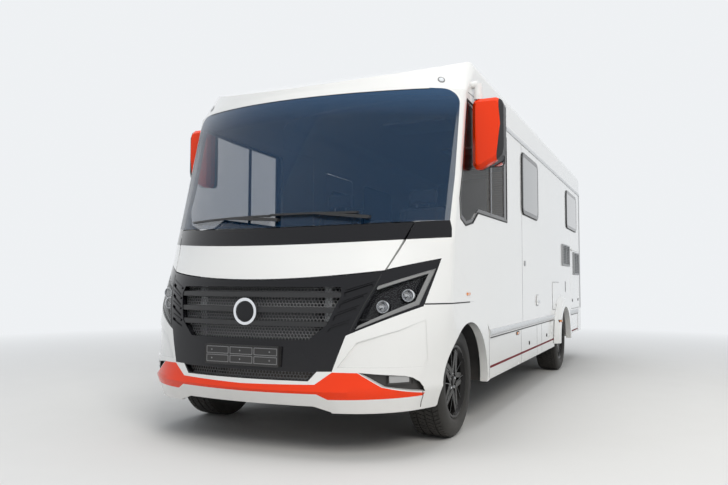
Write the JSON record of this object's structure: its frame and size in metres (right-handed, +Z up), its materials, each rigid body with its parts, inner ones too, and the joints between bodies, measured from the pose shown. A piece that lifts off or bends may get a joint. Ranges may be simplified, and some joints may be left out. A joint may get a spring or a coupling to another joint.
{
  "type": "integrated motorhome",
  "caption": "White integrated motorhome with a panoramic windscreen, slatted black grille, hinged bonnet, entrance and garage doors, and steered front wheels.",
  "frame": {"origin": "middle of the vehicle's box on the ground", "axes": "+Y runs from the nose to the tail, +X to the vehicle's left, +Z up"},
  "size_m": [2.674, 6.99, 2.7753],
  "materials": {
    "paint_white": "gloss",
    "gloss_black": "high gloss",
    "matte_black": "satin",
    "grey_plastic": "satin",
    "lacquer_red": "gloss",
    "glass_tinted": "polished",
    "lens_clear": "polished",
    "lens_red": "gloss",
    "bright_trim": "polished",
    "rim_black": "gloss",
    "tyre_rubber": "matte",
    "dark_casting": "painted",
    "zinc_steel": "zinc coated",
    "radiator_fins": "finned",
    "wood_trim": "satin",
    "seat_fabric": "woven",
    "dash_plastic": "grained",
    "floor_board": "sealed"
  },
  "bodies": {
    "body": {"windshield": "glass_tinted", "scuttle_corners": "gloss_black", "grille_surround": "gloss_black", "grille_slats": "matte_black", "grille_mesh": "matte_black", "badge": "bright_trim", "plate_holders": "matte_black", "light_guides": "lens_clear", "headlamp_housings": "matte_black", "headlamp_lenses": "lens_clear", "headlamp_projectors": "bright_trim", "bumper": "paint_white", "bumper_stripe": "lacquer_red", "fog_lamps": "matte_black", "cab_sides": "paint_white", "roof_cap": "paint_white", "roof": "paint_white", "roof_hatches": "grey_plastic", "side_wall_left": "paint_white", "side_wall_right": "paint_white", "side_windows": "glass_tinted", "rear_wall": "paint_white", "rear_bumper": "paint_white", "tail_lamps": "lens_red", "skirts": "paint_white", "arch_flares": "paint_white", "floor": "floor_board", "chassis_frame": "zinc_steel", "front_axle": "dark_casting", "rear_axle": "dark_casting", "engine": "dark_casting", "radiator": "radiator_fins", "underfloor_tanks": "matte_black", "mirror_shells": "lacquer_red", "mirror_backs": "matte_black", "mirror_arms": "paint_white", "dashboard": "dash_plastic", "steering_wheel": "dash_plastic", "seats": "seat_fabric", "furniture": "wood_trim", "wipers": "matte_black"},
    "bonnet": {"bonnet": "paint_white", "bonnet_band": "gloss_black"},
    "entrance_door": {"entrance_door": "paint_white", "entrance_window": "glass_tinted"},
    "garage_door_left": {"garage_door_left": "paint_white"},
    "garage_door_right": {"garage_door_right": "paint_white"},
    "knuckle_left": {"knuckle_left": "dark_casting"},
    "knuckle_right": {"knuckle_right": "dark_casting"},
    "wheel_front_left": {"tyre_front_left": "tyre_rubber", "rim_front_left": "rim_black"},
    "wheel_front_right": {"tyre_front_right": "tyre_rubber", "rim_front_right": "rim_black"},
    "wheel_rear_left": {"tyre_rear_left": "tyre_rubber", "rim_rear_left": "rim_black"},
    "wheel_rear_right": {"tyre_rear_right": "tyre_rubber", "rim_rear_right": "rim_black"}
  },
  "joints": [
    {"name": "bonnet_lift", "type": "hinge", "parent": "body", "child": "bonnet", "pos_m": [0, -2.96, 1.8], "axis": [-1, 0, 0], "range_deg": [0, 35]},
    {"name": "entrance_door_hinge", "type": "hinge", "parent": "body", "child": "entrance_door", "pos_m": [-1.119, -0.393, 1.4], "axis": [0, 0, 1], "range_deg": [0, 95]},
    {"name": "garage_left_hinge", "type": "hinge", "parent": "body", "child": "garage_door_left", "pos_m": [1.119, 2.9175, 1.493], "axis": [0, -1, 0], "range_deg": [0, 100]},
    {"name": "garage_right_hinge", "type": "hinge", "parent": "body", "child": "garage_door_right", "pos_m": [-1.119, 2.9175, 1.493], "axis": [0, 1, 0], "range_deg": [0, 100]},
    {"name": "steer_left", "type": "hinge", "parent": "body", "child": "knuckle_left", "pos_m": [0.8, -2.44, 0.235], "axis": [-0.1927, 0, 0.9813], "range_deg": [-35, 35]},
    {"name": "steer_right", "type": "hinge", "parent": "body", "child": "knuckle_right", "pos_m": [-0.8, -2.44, 0.235], "axis": [0.1927, 0, 0.9813], "range_deg": [-35, 35]},
    {"name": "spin_front_left", "type": "hinge", "parent": "knuckle_left", "child": "wheel_front_left", "pos_m": [0.906, -2.44, 0.3685], "axis": [1, 0, 0], "continuous": true},
    {"name": "spin_front_right", "type": "hinge", "parent": "knuckle_right", "child": "wheel_front_right", "pos_m": [-0.906, -2.44, 0.3685], "axis": [1, 0, 0], "continuous": true},
    {"name": "spin_rear_left", "type": "hinge", "parent": "body", "child": "wheel_rear_left", "pos_m": [0.98, 1.595, 0.3685], "axis": [1, 0, 0], "continuous": true},
    {"name": "spin_rear_right", "type": "hinge", "parent": "body", "child": "wheel_rear_right", "pos_m": [-0.98, 1.595, 0.3685], "axis": [1, 0, 0], "continuous": true}
  ],
  "couplings": [
    {"joint": "steer_right", "follows": "steer_left", "ratio": 1}
  ]
}
